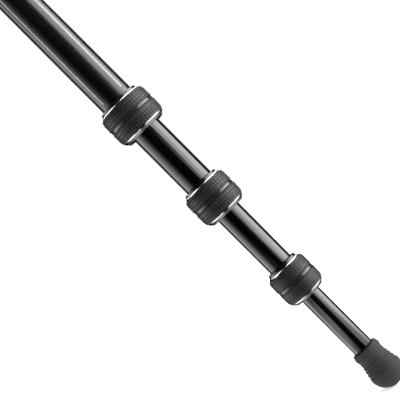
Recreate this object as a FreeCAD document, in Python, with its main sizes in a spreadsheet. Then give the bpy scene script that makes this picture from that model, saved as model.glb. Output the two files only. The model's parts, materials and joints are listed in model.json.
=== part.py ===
"""Travel tripod: four-section twist-lock legs folding on a spider, sliding centre column.

The origin is on the floor under the column's axis, +Z is up and leg 1 leans towards +X.
A leg's own frame has its origin on the hinge bolt's axis: z runs down the leg, x points
inwards to the column when the leg is folded down, and y lies along the hinge bolt.
A twist lock's own frame starts at its flange and z runs towards its lip.
"""
import FreeCAD, Part
import math
import os
import re

import Sketcher

doc = FreeCAD.newDocument("TravelTripod")

# Driving dimensions, in millimetres and degrees

SIZES = {
    "stance_angle": 23.0,
    # spider
    "ear_reach": 17.0,
    "ear_spacing": 16.0,
    "ear_thickness": 5.0,
    "ear_radius": 12.0,
    "arm_rise": 3.0,
    "barrel_wall": 4.3,
    "barrel_below": 14.0,
    "barrel_above": 11.5,
    "barrel_chamfer": 1.5,
    # hinge bolt, cap nut and washers
    "hinge_pin_radius": 3.0,
    "washer_radius": 8.0,
    "washer_thickness": 0.5,
    "washer_play": 0.1,
    "bolt_head_radius": 5.5,
    "bolt_head_height": 2.5,
    "bolt_head_bevel": 0.6,
    "bolt_socket_radius": 2.3,
    "bolt_socket_depth": 1.6,
    # hinge casting
    "tongue_inset": 1.0,
    "channel_inset": 1.7,
    "neck_wall": 1.5,
    "neck_chamfer": 1.0,
    "shoulder_gap": 0.5,
    "socket_floor": 2.0,
    "socket_depth": 22.0,
    # angle tab
    "tab_play": 0.15,
    "tab_width": 12.0,
    "tab_bar_inset": 0.5,
    "tab_thickness": 3.15,
    "tab_nose_gap": 0.45,
    "tab_nose_width": 1.15,
    "tab_bar_length": 8.3,
    "tab_overlap": 1.6,
    "tab_length": 25.5,
    "tab_travel": 4.0,
    "tab_ridge_height": 1.0,
    "tab_ridge_length": 6.0,
    # leg tubes
    "top_tube_radius": 11.25,
    "tube_wall": 1.0,
    "first_tube_length": 275.0,
    "lock_pitch": 69.0,
    "closed_gap": 2.9,
    "nest_gap": 6.2,
    # twist lock
    "flange_overhang": 2.3,
    "flange_thickness": 1.4,
    "thread_wall": 1.2,
    "running_play": 0.05,
    "turning_gap": 0.1,
    "bezel_length": 1.0,
    "bezel_inner": 2.6,
    "bezel_outer": 3.6,
    "grip_seat": 3.3,
    "grip_length": 19.5,
    "grip_wall": 2.0,
    "grip_shoulder_drop": 0.7,
    "grip_shoulder_length": 1.7,
    "groove_width": 2.4,
    "groove_depth": 0.35,
    "rim_length": 0.9,
    "rim_outer": 4.2,
    "rim_inner": 3.5,
    "lip_length": 1.5,
    "lip_outer": 3.3,
    "lip_inner": 1.9,
    "lip_gap": 0.35,
    # collet
    "lip_bore_length": 2.2,
    "cone_length": 3.8,
    "cone_play": 0.15,
    "collet_tip_gap": 0.8,
    "collet_shoulder_length": 4.2,
    "collet_root_length": 3.0,
    "collet_tip_wall": 0.55,
    "collet_slit_angle": 9.0,
    # guide shims
    "shim_wall": 0.45,
    "shim_inset": 2.0,
    "shim_length": 35.0,
    "shim_angle": 172.0,
    # foot
    "foot_depth": 10.0,
    "foot_top_wall": 1.9,
    "foot_collar_length": 3.0,
    "foot_collar_wall": 2.6,
    "foot_ball_wall": 4.25,
    "foot_ball_offset": 8.0,
    # centre column
    "column_radius": 11.5,
    "column_wall": 1.2,
    "column_length": 300.0,
    "column_bush_wall": 1.2,
    "column_bush_length": 20.0,
    # top plate and head stud
    "plate_gap": 0.3,
    "plate_radius": 19.5,
    "plate_thickness": 8.0,
    "plate_bevel": 1.2,
    "spigot_length": 14.0,
    "stud_radius": 4.7625,
    "stud_height": 10.0,
    "stud_chamfer": 1.0,
    "stud_root_radius": 4.0,
    "stud_root_length": 14.0,
    "stud_relief": 0.6,
    "stud_relief_depth": 1.0,
    # weight hook
    "hook_disc_thickness": 5.0,
    "hook_disc_bevel": 1.0,
    "hook_radius": 7.0,
    "hook_wire_radius": 1.8,
    "hook_sink": 1.0,
    "hook_mouth_angle": 70.0,
}

sheet = doc.addObject("Spreadsheet::Sheet", "Sizes")
for row, (alias, number) in enumerate(SIZES.items(), start=1):
    sheet.set(f"A{row}", alias)
    sheet.set(f"B{row}", str(number))
    sheet.setAlias(f"B{row}", alias)
doc.recompute()

LEGS = (1, 2, 3)
SECTIONS = (1, 2, 3, 4)
LAST_SECTION = SECTIONS[-1]
LOCKS = (1, 2, 3)
LEG_SPACING = 360 / len(LEGS)

sub_parts = []


def bound(text):
    """An expression on the sheet's aliases, as other objects have to write it."""
    return re.sub(r"[a-z][a-z_]+", lambda m: f"Sizes.{m[0]}" if m[0] in SIZES else m[0], text)


def value(text):
    """What an expression on the sheet's aliases comes to now, as a plain number."""
    return float(sheet.evalExpression(text))


# Expressions that several pieces share: the twist lock, measured from its flange

BEZEL_END = "(flange_thickness + bezel_length)"
GRIP_END = f"({BEZEL_END} + grip_length)"
RIM_END = f"({GRIP_END} + rim_length)"
LIP_END = f"({RIM_END} + lip_length)"
CONE_END = f"({LIP_END} - lip_bore_length)"
CONE_START = f"({CONE_END} - cone_length)"
THREAD_END = f"({CONE_START} - collet_shoulder_length)"
TUBE_END_DEPTH = f"({THREAD_END} - collet_root_length)"

# The hinge, measured from the bolt

COLUMN_SEAT = "(column_radius + column_bush_wall)"
COLUMN_BORE = "(column_radius - column_wall)"
BARREL_RADIUS = f"({COLUMN_SEAT} + barrel_wall)"
PIVOT_RADIUS = f"({BARREL_RADIUS} + ear_reach)"
PIN_BORE = "(hinge_pin_radius + running_play)"
EAR_OUTSIDE = "(ear_spacing / 2 + ear_thickness)"
TONGUE_WIDTH = "(ear_spacing - 2 * washer_thickness - 2 * washer_play)"
CHANNEL_FLOOR = "(ear_radius - channel_inset)"
TAB_BACK = f"({CHANNEL_FLOOR} + tab_play)"
TAB_FRONT = f"({TAB_BACK} + tab_thickness)"
NECK_RADIUS = "(top_tube_radius + neck_wall)"


def nose_rise(offset):
    """Where the tab's nose meets its own circle round the ears' rims."""
    return f"sqrt((ear_radius + tab_nose_gap) ^ 2 - ({offset}) ^ 2)"


NOSE_START = nose_rise(f"{TAB_BACK} + tab_nose_width")
BAR_END = f"({NOSE_START} + tab_bar_length)"
TAB_END = f"({NOSE_START} + tab_length)"
SHOULDER_START = f"({BAR_END} + tab_travel + shoulder_gap)"
CHANNEL_END = f"({TAB_END} + tab_travel + tab_play)"
SOCKET_START = f"({CHANNEL_END} + socket_floor)"
SOCKET_END = f"({SOCKET_START} + socket_depth)"

# The leg's sections, measured down the leg from the hinge bolt

TUBE_STEP = "(tube_wall + shim_wall + running_play)"
CLOSING_TRAVEL = f"(lock_pitch - {LIP_END} - closed_gap)"


def tube_radius(section):
    return f"(top_tube_radius - {section - 1} * {TUBE_STEP})"


def tube_bore(section):
    return f"({tube_radius(section)} - tube_wall)"


def tube_start(section):
    """Each tube starts far enough down to nest in the one above when the leg is closed."""
    return f"({SOCKET_START} + {section - 1} * ({CLOSING_TRAVEL} + nest_gap))"


def tube_end(section):
    """How far down the leg a tube ends when the leg stands as photographed."""
    return f"({SOCKET_START} + first_tube_length + {section - 1} * lock_pitch)"


def lock_start(lock):
    return f"({tube_end(lock)} - {TUBE_END_DEPTH})"


# Heights over the floor

BALL_RADIUS = f"({tube_radius(LAST_SECTION)} + foot_ball_wall)"
BALL_CENTRE = f"({tube_end(LAST_SECTION)} + foot_ball_offset)"
PIVOT_HEIGHT = f"({BALL_CENTRE} * cos(stance_angle) + {BALL_RADIUS})"
COLUMN_LOCK_START = f"({PIVOT_HEIGHT} + barrel_above)"
PLATE_UNDERSIDE = f"({COLUMN_LOCK_START} + {LIP_END} + plate_gap)"
COLUMN_FOOT = f"({PLATE_UNDERSIDE} - column_length)"


# Drawing helpers

def new_body(label):
    body = doc.addObject("PartDesign::Body", label)
    body.Label = label
    body.AllowCompound = True
    return body


def origin_feature(body, role):
    return next(item for item in body.Origin.OriginFeatures if item.Role == role)


def new_sketch(body, label, plane="XZ_Plane"):
    sketch = body.newObject("Sketcher::SketchObject", label)
    sketch.AttachmentSupport = [(origin_feature(body, plane), "")]
    sketch.MapMode = "FlatFace"
    return sketch


def pin_point(sketch, edge, point, across, along):
    """Ties one point of an edge to two expressions, measured from the sketch's origin."""
    for kind, text in (("DistanceX", across), ("DistanceY", along)):
        index = sketch.addConstraint(Sketcher.Constraint(kind, -1, 1, edge, point, value(text)))
        sketch.setExpression(f"Constraints[{index}]", bound(text))


def draw_outline(sketch, points, arcs=None):
    """Closes an outline through points, each two expressions.

    arcs gives, for the edge that starts at that point, its centre and which way it turns.
    """
    arcs = arcs or {}
    places = [FreeCAD.Vector(value(x), value(y), 0) for x, y in points]
    ends = []
    for index, start in enumerate(places):
        finish = places[(index + 1) % len(places)]
        if index in arcs:
            centre_x, centre_y, turn = arcs[index]
            centre = FreeCAD.Vector(value(centre_x), value(centre_y), 0)
            first, last = (start, finish) if turn == "ccw" else (finish, start)
            from_angle = math.atan2(first.y - centre.y, first.x - centre.x)
            to_angle = math.atan2(last.y - centre.y, last.x - centre.x)
            if to_angle <= from_angle:
                to_angle += 2 * math.pi
            circle = Part.Circle(centre, FreeCAD.Vector(0, 0, 1), centre.distanceToPoint(start))
            sketch.addGeometry(Part.ArcOfCircle(circle, from_angle, to_angle))
            ends.append((1, 2) if turn == "ccw" else (2, 1))
        else:
            sketch.addGeometry(Part.LineSegment(start, finish))
            ends.append((1, 2))
    for index in range(len(points)):
        after = (index + 1) % len(points)
        sketch.addConstraint(
            Sketcher.Constraint("Coincident", index, ends[index][1], after, ends[after][0])
        )
    for index, (x, y) in enumerate(points):
        pin_point(sketch, index, ends[index][0], x, y)
    for index, (centre_x, _, _) in arcs.items():
        number = value(centre_x)
        tie = sketch.addConstraint(Sketcher.Constraint("DistanceX", -1, 1, index, 3, number))
        sketch.setExpression(f"Constraints[{tie}]", bound(centre_x))


def draw_circle(sketch, across, along, radius):
    centre = FreeCAD.Vector(value(across), value(along), 0)
    sketch.addGeometry(Part.Circle(centre, FreeCAD.Vector(0, 0, 1), value(radius)))
    pin_point(sketch, 0, 3, across, along)
    index = sketch.addConstraint(Sketcher.Constraint("Radius", 0, value(radius)))
    sketch.setExpression(f"Constraints[{index}]", bound(radius))


def revolve(body, label, points, arcs=None, angle="360"):
    """Turns an outline of (radius, height) points about the body's own z axis."""
    sketch = new_sketch(body, f"{label}_outline")
    draw_outline(sketch, points, arcs)
    feature = body.newObject("PartDesign::Revolution", label)
    feature.Profile = (sketch, [""])
    feature.ReferenceAxis = (sketch, ["V_Axis"])
    feature.setExpression("Angle", bound(angle))
    return feature


def extrude(body, kind, label, sketch, width):
    """Pads or pockets a sketch equally to both sides of its plane."""
    feature = body.newObject(kind, label)
    feature.Profile = (sketch, [""])
    feature.SideType = "Symmetric"
    feature.setExpression("Length", bound(width))
    return feature


def ring_around(body, label, originals, copies):
    pattern = body.newObject("PartDesign::PolarPattern", label)
    pattern.Originals = originals
    pattern.Axis = (origin_feature(body, "Z_Axis"), [""])
    pattern.Angle = 360
    pattern.Occurrences = copies
    body.Tip = pattern
    return pattern


def group(label, members):
    """Several separate solids under one name."""
    compound = doc.addObject("Part::Compound", label)
    compound.Label = label
    compound.Links = members
    return compound


def shift(x="0", y="0", z="0"):
    return f"create(<<placement>>; create(<<vector>>; {x}; {y}; {z}); create(<<rotation>>; 0; 0; 0))"


def turn(axis, angle):
    """A turn about one of the axes, by an expression in degrees."""
    vector = {"x": "1; 0; 0", "y": "0; 1; 0", "z": "0; 0; 1"}[axis]
    spin = f"create(<<rotation>>; create(<<vector>>; {vector}); {angle})"
    return f"create(<<placement>>; create(<<vector>>; 0; 0; 0); {spin})"


def hinge_place(leg):
    """The hinge bolt's middle, with y along the bolt."""
    return f"{turn('z', (leg - 1) * LEG_SPACING)} * {shift(x=PIVOT_RADIUS, z=PIVOT_HEIGHT)}"


def leg_place(leg, along="0"):
    """A point down the leg, with z pointing on down the leg."""
    return f"{hinge_place(leg)} * {turn('y', '(180 - stance_angle)')} * {shift(z=along)}"


def add_sub_part(shape_object, place):
    shape_object.setExpression("Placement", bound(place))
    sub_parts.append(shape_object)


# Tubes

def make_tube(label, outer, bore, length):
    body = new_body(label)
    revolve(body, f"{label}_wall", [(bore, "0"), (outer, "0"), (outer, length), (bore, length)])
    return body


# Twist lock: what is fixed to the wider tube

def make_thread_fitting(label, wide):
    """Threaded sleeve on the end of the wider tube, with the flange that shows."""
    body = new_body(label)
    revolve(body, f"{label}_sleeve", [
        (wide, "0"),
        (f"{wide} + flange_overhang", "0"),
        (f"{wide} + flange_overhang", "flange_thickness"),
        (f"{wide} + thread_wall", "flange_thickness"),
        (f"{wide} + thread_wall", THREAD_END),
        (wide, THREAD_END),
    ])
    return body


def lock_bore(wide):
    return f"({wide} + thread_wall + running_play)"


def make_collet(label, wide, narrow):
    """Split sleeve that the turning ring presses on the narrower tube."""
    inside = f"({narrow} + running_play)"
    outside = f"({lock_bore(wide)} - cone_play)"
    tip = f"({CONE_END} - collet_tip_gap)"
    body = new_body(label)
    revolve(body, f"{label}_sleeve", [
        (inside, TUBE_END_DEPTH),
        (wide, TUBE_END_DEPTH),
        (wide, THREAD_END),
        (outside, THREAD_END),
        (outside, CONE_START),
        (f"{inside} + collet_tip_wall", tip),
        (inside, tip),
    ], angle="360 - collet_slit_angle")
    return body


def make_guide_shims(label, section):
    """Two half-round shims on the top of a sliding tube, in the bore of the tube above."""
    inside = tube_radius(section)
    outside = f"({tube_bore(section - 1)} - running_play)"
    body = new_body(label)
    shim = revolve(body, f"{label}_half", [
        (inside, "shim_inset"),
        (outside, "shim_inset"),
        (outside, "shim_inset + shim_length"),
        (inside, "shim_inset + shim_length"),
    ], angle="shim_angle")
    ring_around(body, f"{label}_pair", [shim], 2)
    return body


# Twist lock: what turns

def make_lock_ring(label, wide, narrow):
    """Turned ring: bevelled bezel, seat for the grip, bright rim, satin lip, inner cone."""
    body = new_body(label)
    top = "flange_thickness + turning_gap"
    revolve(body, f"{label}_turned", [
        (lock_bore(wide), top),
        (f"{wide} + bezel_inner", top),
        (f"{wide} + bezel_outer", BEZEL_END),
        (f"{wide} + grip_seat", BEZEL_END),
        (f"{wide} + grip_seat", GRIP_END),
        (f"{wide} + rim_outer", GRIP_END),
        (f"{wide} + rim_inner", RIM_END),
        (f"{wide} + lip_outer", RIM_END),
        (f"{wide} + lip_inner", LIP_END),
        (f"{narrow} + lip_gap", LIP_END),
        (f"{narrow} + lip_gap", CONE_END),
        (lock_bore(wide), CONE_START),
    ])
    return body


def make_lock_grip(label, wide):
    """Rubber sleeve with sloping shoulders and a smooth groove round its middle."""
    outside = f"({wide} + grip_seat + grip_wall)"
    shoulder = f"({outside} - grip_shoulder_drop)"
    crown = "((grip_shoulder_drop ^ 2 + grip_shoulder_length ^ 2) / (2 * grip_shoulder_drop))"
    crown_centre = f"({outside} - {crown})"
    top_edge = f"({BEZEL_END} + grip_shoulder_length)"
    low_edge = f"({GRIP_END} - grip_shoulder_length)"
    middle = f"(({BEZEL_END} + {GRIP_END}) / 2)"
    body = new_body(label)
    revolve(body, f"{label}_sleeve", [
        (f"{wide} + grip_seat", BEZEL_END),
        (shoulder, BEZEL_END),
        (outside, top_edge),
        (outside, f"{middle} - groove_width / 2"),
        (f"{outside} - groove_depth", f"{middle} - groove_width / 2"),
        (f"{outside} - groove_depth", f"{middle} + groove_width / 2"),
        (outside, f"{middle} + groove_width / 2"),
        (outside, low_edge),
        (shoulder, GRIP_END),
        (f"{wide} + grip_seat", GRIP_END),
    ], arcs={
        1: (crown_centre, top_edge, "ccw"),
        7: (crown_centre, low_edge, "ccw"),
    })
    return body


# Leg hinge

def make_hinge_casting(label):
    """Tongue on the hinge bolt, round neck, channel for the angle tab, socket for the tube."""
    body = new_body(label)
    inner_flat = "(ear_radius - tongue_inset)"
    neck_joint = f"({SHOULDER_START} + neck_chamfer)"
    outline = new_sketch(body, f"{label}_tongue_outline")
    draw_outline(outline, [
        (inner_flat, f"sqrt(ear_radius ^ 2 - {inner_flat} ^ 2)"),
        (inner_flat, neck_joint),
        (f"-{CHANNEL_FLOOR}", neck_joint),
        (f"-{CHANNEL_FLOOR}", f"sqrt(ear_radius ^ 2 - {CHANNEL_FLOOR} ^ 2)"),
    ], arcs={3: ("0", "0", "ccw")})
    extrude(body, "PartDesign::Pad", f"{label}_tongue", outline, TONGUE_WIDTH)
    revolve(body, f"{label}_neck", [
        ("0", SHOULDER_START),
        (f"{NECK_RADIUS} - neck_chamfer", SHOULDER_START),
        (NECK_RADIUS, neck_joint),
        (NECK_RADIUS, SOCKET_END),
        ("top_tube_radius", SOCKET_END),
        ("top_tube_radius", SOCKET_START),
        ("0", SOCKET_START),
    ])
    bolt_hole = new_sketch(body, f"{label}_bolt_circle")
    draw_circle(bolt_hole, "0", "0", PIN_BORE)
    extrude(body, "PartDesign::Pocket", f"{label}_bolt_hole", bolt_hole, f"2 * {EAR_OUTSIDE}")
    channel = new_sketch(body, f"{label}_channel_outline")
    beyond = f"(-{NECK_RADIUS} - {CHANNEL_FLOOR})"
    draw_outline(channel, [
        (f"-{CHANNEL_FLOOR}", f"{SHOULDER_START} - neck_chamfer"),
        (f"-{CHANNEL_FLOOR}", CHANNEL_END),
        (beyond, CHANNEL_END),
        (beyond, f"{SHOULDER_START} - neck_chamfer"),
    ])
    channel_width = "(tab_width + 2 * tab_play)"
    extrude(body, "PartDesign::Pocket", f"{label}_channel", channel, channel_width)
    return body


def make_angle_tab(label):
    """Sliding tab: a cross bar whose nose faces the ears' rims, on a plate in the channel."""
    body = new_body(label)
    bar = new_sketch(body, f"{label}_bar_outline")
    draw_outline(bar, [
        (f"-{TAB_FRONT}", NOSE_START),
        (f"-{TAB_BACK} - tab_nose_width", NOSE_START),
        (f"-{TAB_BACK}", nose_rise(TAB_BACK)),
        (f"-{TAB_BACK}", BAR_END),
        (f"-{TAB_FRONT}", BAR_END),
    ])
    bar_width = f"2 * ({EAR_OUTSIDE} - tab_bar_inset)"
    extrude(body, "PartDesign::Pad", f"{label}_bar", bar, bar_width)
    plate = new_sketch(body, f"{label}_plate_outline")
    draw_outline(plate, [
        (f"-{TAB_BACK}", f"{BAR_END} - tab_overlap"),
        (f"-{TAB_BACK}", TAB_END),
        (f"-{TAB_FRONT} - tab_ridge_height", TAB_END),
        (f"-{TAB_FRONT} - tab_ridge_height", f"{TAB_END} - tab_ridge_length / 2"),
        (f"-{TAB_FRONT}", f"{TAB_END} - tab_ridge_length"),
        (f"-{TAB_FRONT}", f"{BAR_END} - tab_overlap"),
    ])
    extrude(body, "PartDesign::Pad", f"{label}_plate", plate, "tab_width")
    return body


# Foot

def make_foot(label):
    """Rubber foot: collar round the tube's end, waist, and a round ball to stand on."""
    tube = tube_radius(LAST_SECTION)
    tube_tip = tube_end(LAST_SECTION)
    top = f"({tube_tip} - foot_depth)"
    body = new_body(label)
    revolve(body, f"{label}_rubber", [
        (tube, top),
        (f"{tube} + foot_top_wall", top),
        (f"{tube} + foot_collar_wall", f"{top} + foot_collar_length"),
        (f"{tube} + foot_top_wall", f"{top} + 2 * foot_collar_length"),
        (BALL_RADIUS, BALL_CENTRE),
        ("0", f"{BALL_CENTRE} + {BALL_RADIUS}"),
        ("0", tube_tip),
        (tube, tube_tip),
    ], arcs={4: ("0", BALL_CENTRE, "ccw")})
    return body


# Spider, its bolts, column and what they carry

def make_spider(label):
    """Barrel with a threaded neck and three pairs of ears on arms."""
    body = new_body(label)
    flange_top = "(barrel_above + flange_thickness)"
    neck_top = f"(barrel_above + {THREAD_END})"
    flange = f"({COLUMN_SEAT} + flange_overhang)"
    neck = f"({COLUMN_SEAT} + thread_wall)"
    revolve(body, f"{label}_barrel", [
        ("0", "-barrel_below"),
        (f"{BARREL_RADIUS} - barrel_chamfer", "-barrel_below"),
        (BARREL_RADIUS, "-barrel_below + barrel_chamfer"),
        (BARREL_RADIUS, "barrel_above - barrel_chamfer"),
        (flange, "barrel_above"),
        (flange, flange_top),
        (neck, flange_top),
        (neck, neck_top),
        ("0", neck_top),
    ])
    ear = new_sketch(body, f"{label}_ear_outline")
    arm_turn = f"({PIVOT_RADIUS} - sqrt(ear_radius ^ 2 - arm_rise ^ 2))"
    draw_outline(ear, [
        (PIVOT_RADIUS, "-ear_radius"),
        (arm_turn, "arm_rise"),
        (COLUMN_SEAT, "arm_rise"),
        (COLUMN_SEAT, "-ear_radius"),
    ], arcs={0: (PIVOT_RADIUS, "0", "ccw")})
    pad = extrude(body, "PartDesign::Pad", f"{label}_ear_block", ear, f"2 * {EAR_OUTSIDE}")
    gap = new_sketch(body, f"{label}_gap_outline")
    gap_end = f"({PIVOT_RADIUS} + 2 * ear_radius)"
    draw_outline(gap, [
        (BARREL_RADIUS, "-2 * ear_radius"),
        (gap_end, "-2 * ear_radius"),
        (gap_end, "2 * ear_radius"),
        (BARREL_RADIUS, "2 * ear_radius"),
    ])
    slot = extrude(body, "PartDesign::Pocket", f"{label}_ear_gap", gap, "ear_spacing")
    bolt_hole = new_sketch(body, f"{label}_bolt_circle")
    draw_circle(bolt_hole, PIVOT_RADIUS, "0", PIN_BORE)
    hole = extrude(body, "PartDesign::Pocket", f"{label}_bolt_hole", bolt_hole, f"4 * {EAR_OUTSIDE}")
    ring_around(body, f"{label}_three_ears", [pad, slot, hole], len(LEGS))
    bore = new_sketch(body, f"{label}_bore_circle", "XY_Plane")
    draw_circle(bore, "0", "0", COLUMN_SEAT)
    cut = extrude(body, "PartDesign::Pocket", f"{label}_bore", bore, f"4 * {neck_top}")
    body.Tip = cut
    return body


def make_hinge_bolt(label):
    """Bolt along z with a bevelled head at its lower end and a hexagon-key recess."""
    head_start = f"(-{EAR_OUTSIDE} - bolt_head_height)"
    body = new_body(label)
    revolve(body, f"{label}_turned", [
        ("0", f"{head_start} + bolt_socket_depth"),
        ("bolt_socket_radius", f"{head_start} + bolt_socket_depth"),
        ("bolt_socket_radius", head_start),
        ("bolt_head_radius - bolt_head_bevel", head_start),
        ("bolt_head_radius", f"{head_start} + bolt_head_bevel"),
        ("bolt_head_radius", f"-{EAR_OUTSIDE}"),
        ("hinge_pin_radius", f"-{EAR_OUTSIDE}"),
        ("hinge_pin_radius", EAR_OUTSIDE),
        ("0", EAR_OUTSIDE),
    ])
    return body


def make_cap_nut(label):
    """Round cap nut on the bolt's other end."""
    nut_end = f"({EAR_OUTSIDE} + bolt_head_height)"
    body = new_body(label)
    revolve(body, f"{label}_turned", [
        ("0", EAR_OUTSIDE),
        ("bolt_head_radius", EAR_OUTSIDE),
        ("bolt_head_radius", f"{nut_end} - bolt_head_bevel"),
        ("bolt_head_radius - bolt_head_bevel", nut_end),
        ("0", nut_end),
    ])
    return body


def make_thrust_washer(label, side):
    """Thin washer against the inner face of one ear."""
    near = f"({side} * (ear_spacing / 2 - washer_thickness))"
    far = f"({side} * ear_spacing / 2)"
    body = new_body(label)
    revolve(body, f"{label}_disc", [
        (PIN_BORE, near),
        ("washer_radius", near),
        ("washer_radius", far),
        (PIN_BORE, far),
    ])
    return body


def make_hinge_hardware(label):
    """Bolt, cap nut and two washers for each of the three hinges."""
    pieces = []
    for leg in LEGS:
        pieces += [
            make_hinge_bolt(f"bolt_{leg}"),
            make_cap_nut(f"cap_nut_{leg}"),
            make_thrust_washer(f"washer_{leg}_a", "-1"),
            make_thrust_washer(f"washer_{leg}_b", "1"),
        ]
        for piece in pieces[-4:]:
            piece.setExpression("Placement", bound(f"{hinge_place(leg)} * {turn('x', -90)}"))
    return group(label, pieces)


def make_column_collet(label):
    """Plain bush in the barrel's foot and split collet in its threaded neck."""
    bush = new_body(f"{label}_bush")
    inside = "(column_radius + running_play)"
    bush_start = "(-barrel_below - barrel_above)"
    bush_end = f"({bush_start} + column_bush_length)"
    revolve(bush, f"{label}_bush_sleeve", [
        (inside, bush_start),
        (COLUMN_SEAT, bush_start),
        (COLUMN_SEAT, bush_end),
        (inside, bush_end),
    ])
    split = make_collet(f"{label}_split", COLUMN_SEAT, "column_radius")
    return group(label, [bush, split])


def make_top_plate(label):
    """Round plate for a head, with a spigot down into the column and a hole for the stud.

    A relief round the stud lets the head's base lie flat.
    """
    relief = "(stud_radius + stud_relief)"
    relief_floor = "(plate_thickness - stud_relief_depth)"
    body = new_body(label)
    revolve(body, f"{label}_turned", [
        ("stud_root_radius", "-spigot_length"),
        (COLUMN_BORE, "-spigot_length"),
        (COLUMN_BORE, "0"),
        ("plate_radius - plate_bevel", "0"),
        ("plate_radius", "plate_bevel"),
        ("plate_radius", "plate_thickness - plate_bevel / 2"),
        ("plate_radius - plate_bevel / 2", "plate_thickness"),
        (relief, "plate_thickness"),
        (relief, relief_floor),
        ("stud_root_radius", relief_floor),
    ])
    return body


def make_head_stud(label):
    """Stud for a head's thread, on a thinner root held in the top plate."""
    body = new_body(label)
    revolve(body, f"{label}_turned", [
        ("0", "plate_thickness - stud_root_length"),
        ("stud_root_radius", "plate_thickness - stud_root_length"),
        ("stud_root_radius", "plate_thickness"),
        ("stud_radius", "plate_thickness"),
        ("stud_radius", "plate_thickness + stud_height - stud_chamfer"),
        ("stud_radius - stud_chamfer", "plate_thickness + stud_height"),
        ("0", "plate_thickness + stud_height"),
    ])
    return body


def make_weight_hook(label):
    """Plug in the column's lower end, and an open hook of round wire under it."""
    plug = new_body(f"{label}_plug")
    revolve(plug, f"{label}_plug_turned", [
        ("0", "-hook_disc_thickness"),
        ("column_radius - hook_disc_bevel", "-hook_disc_thickness"),
        ("column_radius", "-hook_disc_thickness + hook_disc_bevel"),
        ("column_radius", "0"),
        (COLUMN_BORE, "0"),
        (COLUMN_BORE, "spigot_length"),
        ("0", "spigot_length"),
    ])
    wire = doc.addObject("Part::Torus", f"{label}_wire")
    wire.setExpression("Radius1", bound("hook_radius"))
    wire.setExpression("Radius2", bound("hook_wire_radius"))
    wire.setExpression("Angle3", bound("360 - hook_mouth_angle"))
    drop = "(-hook_disc_thickness - hook_radius - hook_wire_radius + hook_sink)"
    # the wire leaves the plug at the top and turns up again to its tip on the +x side
    wire.setExpression("Placement", bound(f"{shift(z=drop)} * {turn('x', 90)} * {turn('z', 90)}"))
    tip = doc.addObject("Part::Sphere", f"{label}_tip")
    tip.setExpression("Radius", bound("hook_wire_radius"))
    tip_place = f"{shift(z=drop)} * {turn('y', '(hook_mouth_angle - 90)')} * {shift(x='hook_radius')}"
    tip.setExpression("Placement", bound(tip_place))
    whole = doc.addObject("Part::MultiFuse", label)
    whole.Label = label
    whole.Shapes = [plug, wire, tip]
    return whole


# The three legs

def make_fittings(label, section):
    """What is fixed to one tube: guide shims at its top, fitting and collet at its end."""
    fixed = []
    if section > 1:
        fixed.append(make_guide_shims(f"{label}_shims", section))
    if section < LAST_SECTION:
        wide = tube_radius(section)
        fitting = make_thread_fitting(f"{label}_sleeve", wide)
        collet = make_collet(f"{label}_collet", wide, tube_radius(section + 1))
        to_lock = shift(z=f"({lock_start(section)} - {tube_start(section)})")
        for piece in (fitting, collet):
            piece.setExpression("Placement", bound(to_lock))
            fixed.append(piece)
    return group(label, fixed)


for leg in LEGS:
    name = f"leg{leg}"
    add_sub_part(make_hinge_casting(f"{name}_hinge_casting"), leg_place(leg))
    add_sub_part(make_angle_tab(f"{name}_angle_tab"), leg_place(leg))
    for section in SECTIONS:
        place = leg_place(leg, tube_start(section))
        tube_name = f"{name}_upper_tube" if section == 1 else f"{name}_tube_{section}"
        length = f"({tube_end(section)} - {tube_start(section)})"
        tube = make_tube(tube_name, tube_radius(section), tube_bore(section), length)
        add_sub_part(tube, place)
        fixed_name = f"{name}_upper_fittings" if section == 1 else f"{name}_fittings_{section}"
        add_sub_part(make_fittings(fixed_name, section), place)
    for lock in LOCKS:
        wide = tube_radius(lock)
        place = leg_place(leg, lock_start(lock))
        ring = make_lock_ring(f"{name}_lock_{lock}_ring", wide, tube_radius(lock + 1))
        add_sub_part(ring, place)
        add_sub_part(make_lock_grip(f"{name}_lock_{lock}_grip", wide), place)
    add_sub_part(make_foot(f"{name}_foot"), leg_place(leg))

# The spider and the centre column

add_sub_part(make_spider("spider"), shift(z=PIVOT_HEIGHT))
add_sub_part(make_hinge_hardware("hinge_hardware"), shift())
column_lock_place = shift(z=COLUMN_LOCK_START)
add_sub_part(make_column_collet("column_collet"), column_lock_place)
column_ring = make_lock_ring("column_lock_ring", COLUMN_SEAT, "column_radius")
add_sub_part(column_ring, column_lock_place)
add_sub_part(make_lock_grip("column_lock_grip", COLUMN_SEAT), column_lock_place)
column_tube = make_tube("column_tube", "column_radius", COLUMN_BORE, "column_length")
add_sub_part(column_tube, shift(z=COLUMN_FOOT))
add_sub_part(make_top_plate("top_plate"), shift(z=PLATE_UNDERSIDE))
add_sub_part(make_head_stud("head_stud"), shift(z=PLATE_UNDERSIDE))
add_sub_part(make_weight_hook("weight_hook"), shift(z=COLUMN_FOOT))

doc.recompute()

# Nothing is written unless every object came out whole

for item in doc.Objects:
    if "Invalid" in item.State or "Error" in item.State:
        raise RuntimeError(f"{item.Label} did not compute: {item.State}")
for item in sub_parts:
    if item.Shape.isNull() or not item.Shape.isValid() or not item.Shape.Solids:
        raise RuntimeError(f"{item.Label} is not a valid solid")

os.makedirs("parts", exist_ok=True)
for item in sub_parts:
    item.Shape.exportStep(f"parts/{item.Label}.step")

print(f"{len(sub_parts)} sub-parts, pivot height {value(PIVOT_HEIGHT):.3f} mm")
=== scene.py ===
"""Travel tripod: turned lock rings, knurled rubber grips, anodised tubes and black castings.

A leg's own frame has its origin on the hinge bolt: z runs down the leg, x points to the
column's side and y lies along the bolt. The column is built in the part's own frame.
"""
import json
import math
from collections import namedtuple

import bmesh
import bpy
from bpy.props import FloatProperty, FloatVectorProperty, IntProperty, PointerProperty
from mathutils import Matrix, Vector


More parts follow.
